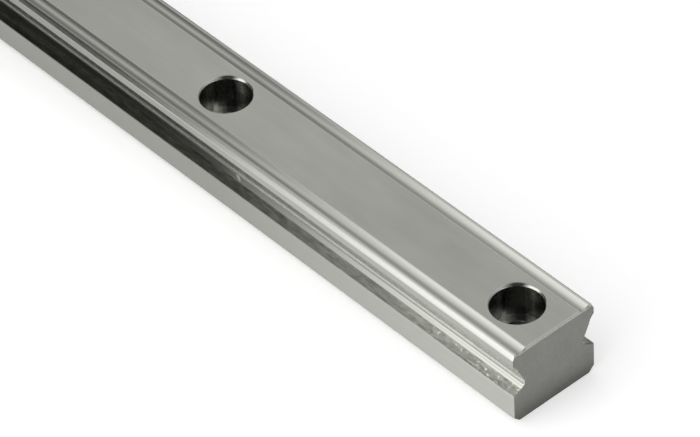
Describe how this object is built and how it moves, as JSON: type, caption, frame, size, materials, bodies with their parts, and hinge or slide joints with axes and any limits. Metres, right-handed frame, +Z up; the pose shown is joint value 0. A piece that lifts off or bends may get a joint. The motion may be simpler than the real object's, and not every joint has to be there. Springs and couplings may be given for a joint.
{
  "type": "linear guide rail",
  "caption": "Ground steel profile rail for a linear guide, low section, with counterbored screw holes along its middle and ball tracks along both edges.",
  "frame": {"origin": "middle of the mounting face, on the underside", "axes": "+X along the rail towards the end whose last hole is nearer the cut, +Y across the rail, +Z up from the mounting face"},
  "size_m": [0.2, 0.015, 0.0125],
  "materials": {
    "ground_steel": "ground lengthwise, semi-gloss"
  },
  "bodies": {
    "root": {"rail": "ground_steel"}
  },
  "joints": []
}
